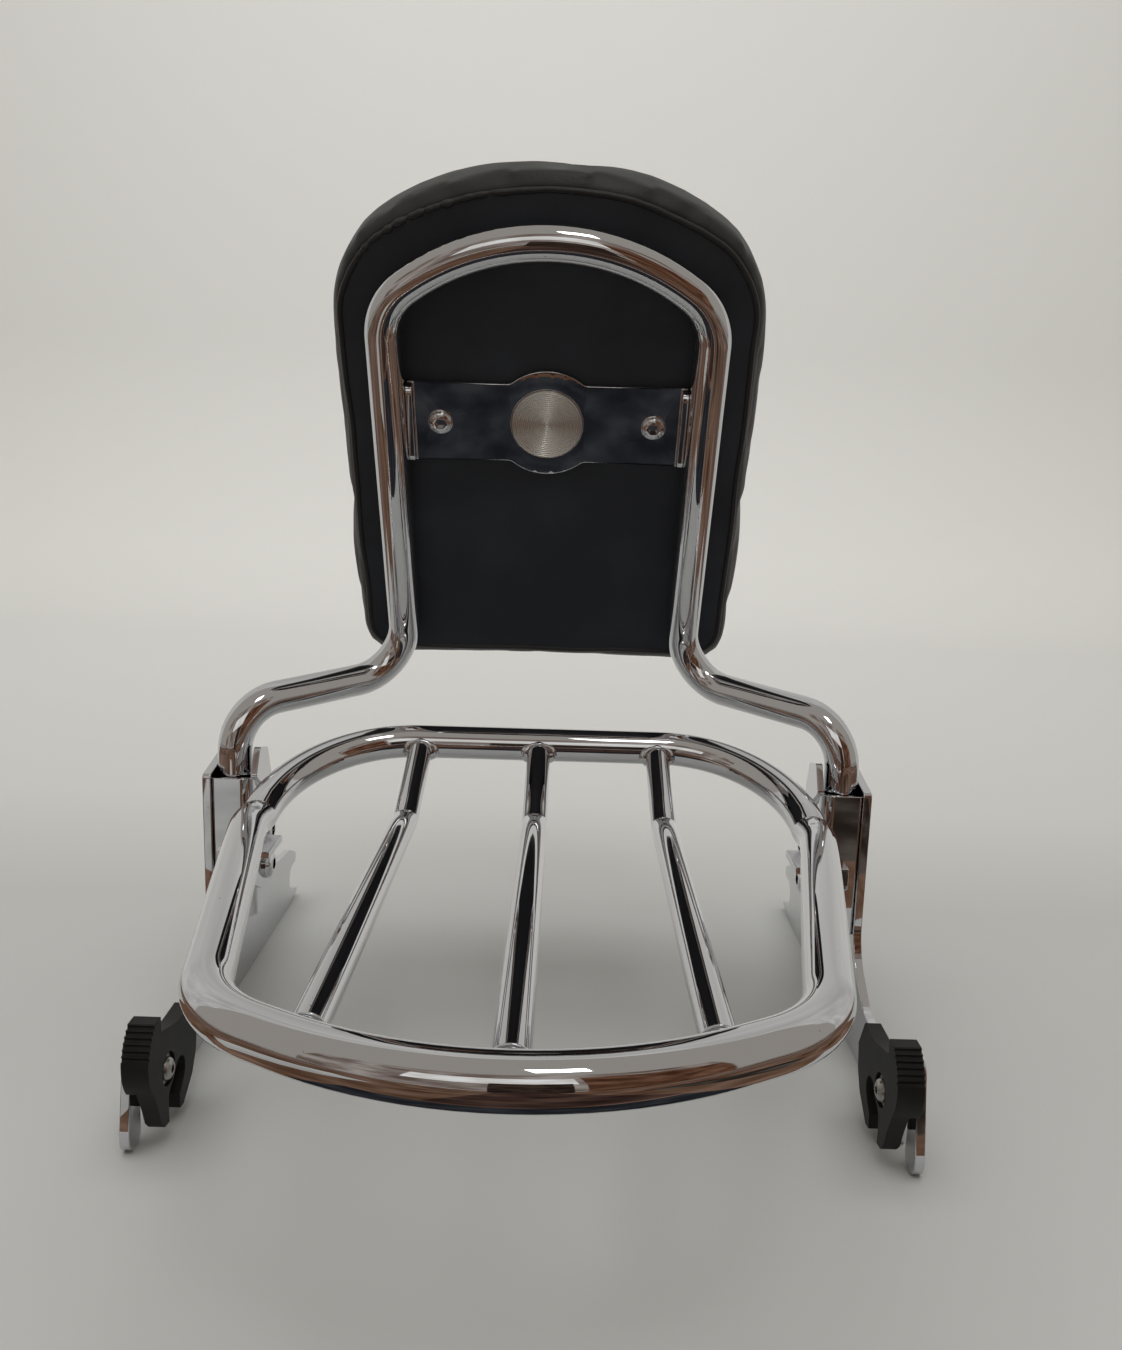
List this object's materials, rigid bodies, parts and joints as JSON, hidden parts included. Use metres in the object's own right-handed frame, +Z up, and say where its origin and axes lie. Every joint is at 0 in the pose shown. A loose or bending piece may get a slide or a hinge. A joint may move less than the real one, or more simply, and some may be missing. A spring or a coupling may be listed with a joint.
{
  "type": "sissy bar",
  "caption": "Detachable chrome sissy bar with a leaning padded hoop, a slatted luggage rack and side plates that hook and latch onto docking posts.",
  "frame": {"origin": "middle of the floor area under the part, on the floor it stands on", "axes": "+X to the right across the side plates, +Y forward to the rider, +Z up"},
  "size_m": [0.31, 0.3999, 0.3923],
  "materials": {
    "chromed_steel": "polished",
    "plated_steel": "satin",
    "turned_disc": "turned satin",
    "pad_vinyl": "grained satin",
    "panel_plastic": "smooth satin",
    "board_ply": "raw",
    "lever_plastic": "matt"
  },
  "bodies": {
    "frame": {"bracket_medallion": "turned_disc", "latch_bush_left": "plated_steel", "latch_bush_right": "plated_steel", "latch_pivot_screw_left": "plated_steel", "latch_pivot_screw_right": "plated_steel", "latch_spring_washer_left": "plated_steel", "latch_spring_washer_right": "plated_steel", "latch_washer_left": "plated_steel", "latch_washer_right": "plated_steel", "pad_back_panel": "panel_plastic", "pad_base_board": "board_ply", "pad_bracket": "chromed_steel", "pad_cushion": "pad_vinyl", "pad_screws": "chromed_steel", "pad_tee_nuts": "plated_steel", "rack_loop": "chromed_steel", "rack_slat_centre": "chromed_steel", "rack_slat_left": "chromed_steel", "rack_slat_right": "chromed_steel", "rack_tab_left": "chromed_steel", "rack_tab_right": "chromed_steel", "rack_weld_beads": "chromed_steel", "side_plate_left": "chromed_steel", "side_plate_right": "chromed_steel", "socket_bolts": "chromed_steel", "upright_hoop": "chromed_steel", "upright_socket_left": "chromed_steel", "upright_socket_right": "chromed_steel"},
    "latch_left": {"latch_lever_left": "lever_plastic"},
    "latch_right": {"latch_lever_right": "lever_plastic"}
  },
  "joints": [
    {"name": "latch_left_turn", "type": "hinge", "parent": "frame", "child": "latch_left", "pos_m": [-0.1447, -0.052, 0.03], "axis": [1, 0, 0], "range_deg": [-38, 0]},
    {"name": "latch_right_turn", "type": "hinge", "parent": "frame", "child": "latch_right", "pos_m": [0.1447, -0.052, 0.03], "axis": [1, 0, 0], "range_deg": [-38, 0]}
  ]
}
